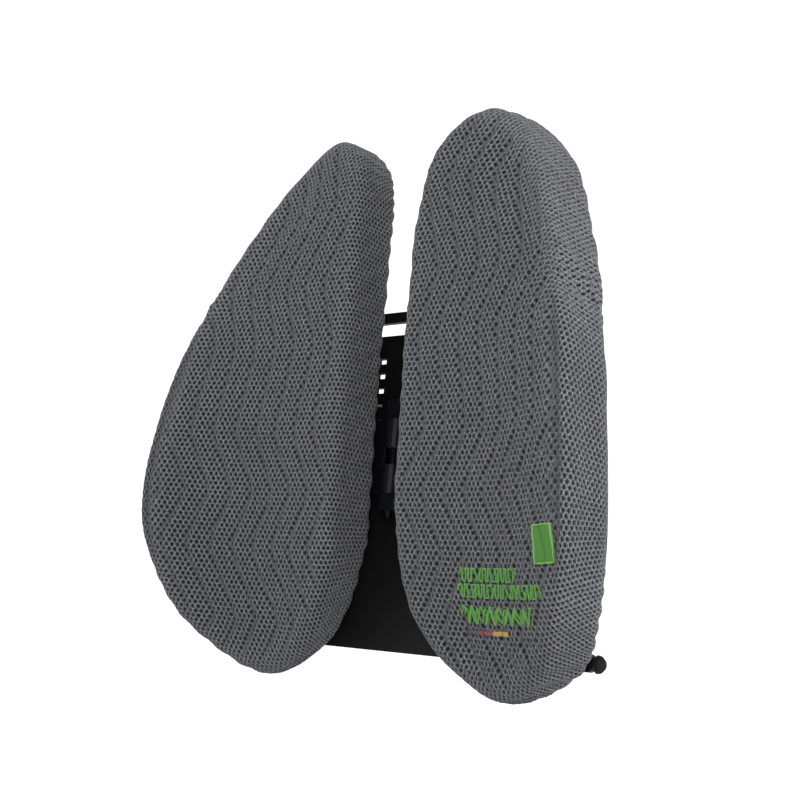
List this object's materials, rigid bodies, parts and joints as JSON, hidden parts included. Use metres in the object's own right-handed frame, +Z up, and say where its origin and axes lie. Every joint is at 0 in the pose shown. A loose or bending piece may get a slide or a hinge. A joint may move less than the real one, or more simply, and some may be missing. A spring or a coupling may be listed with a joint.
{
  "type": "lumbar support cushion",
  "caption": "Dual-wing lumbar support: padded mesh wings hinged on a height-adjustable plastic base that straps to a chair's back.",
  "frame": {"origin": "middle of the rear rubber grip's flat face, where the support rests on the chair's back", "axes": "+Z up along the pads, +X to the right as seen by someone facing the pads, +Y back towards the chair"},
  "size_m": [0.4068, 0.1232, 0.4],
  "materials": {
    "air_mesh": "grey 3D air mesh with hexagonal holes, wave quilted",
    "foam": "moulded polyurethane foam",
    "board": "fibreboard insert",
    "black_plastic": "fine textured moulded black",
    "arm_plastic": "satin moulded blue-black",
    "steel": "zinc plated",
    "acetal": "natural acetal",
    "grey_plastic": "moulded grey",
    "rubber": "matt black rubber",
    "webbing": "woven black elastic webbing",
    "label_cloth": "woven green label"
  },
  "bodies": {
    "carriage": {"belt_ring": "steel", "grip_pad": "rubber", "height_carriage": "black_plastic", "left_belt": "webbing", "left_belt_bar": "steel", "left_index_finger": "grey_plastic", "right_belt": "webbing", "right_belt_bar": "steel", "right_index_finger": "grey_plastic"},
    "left_wing": {"left_arm_screw_lower": "steel", "left_arm_screw_upper": "steel", "left_foam_core": "foam", "left_insert_board": "board", "left_lower_bush": "acetal", "left_mesh_cover": "air_mesh", "left_upper_bush": "acetal", "left_wing_arm": "arm_plastic"},
    "right_wing": {"right_arm_screw_lower": "steel", "right_arm_screw_upper": "steel", "right_foam_core": "foam", "right_insert_board": "board", "right_lower_bush": "acetal", "right_mesh_cover": "air_mesh", "right_upper_bush": "acetal", "right_wing_arm": "arm_plastic", "woven_label": "label_cloth"},
    "base": {"base_plate": "black_plastic", "left_end_cap": "rubber", "left_guide_rail": "black_plastic", "left_hinge_pin": "steel", "left_pin_clip": "steel", "left_rail_screw_lower": "steel", "left_rail_screw_upper": "steel", "left_return_spring": "steel", "pivot_tower": "arm_plastic", "right_end_cap": "rubber", "right_guide_rail": "black_plastic", "right_hinge_pin": "steel", "right_pin_clip": "steel", "right_rail_screw_lower": "steel", "right_rail_screw_upper": "steel", "right_return_spring": "steel", "tower_screw_lower": "steel", "tower_screw_upper": "steel"}
  },
  "joints": [
    {"name": "height_slide", "type": "slide", "parent": "carriage", "child": "base", "axis": [0, 0, 1], "range_m": [-0.0336, 0.0224], "deforming": ["left_index_finger", "right_index_finger"]},
    {"name": "left_wing_yaw", "type": "hinge", "parent": "base", "child": "left_wing", "pos_m": [-0.02, -0.037, 0], "axis": [0, 0, 1], "range_deg": [-3, 12], "stiffness_Nm_per_rad": 4, "deforming": ["left_return_spring"]},
    {"name": "right_wing_yaw", "type": "hinge", "parent": "base", "child": "right_wing", "pos_m": [0.02, -0.037, 0], "axis": [0, 0, -1], "range_deg": [-3, 12], "stiffness_Nm_per_rad": 4, "deforming": ["right_return_spring"]}
  ]
}
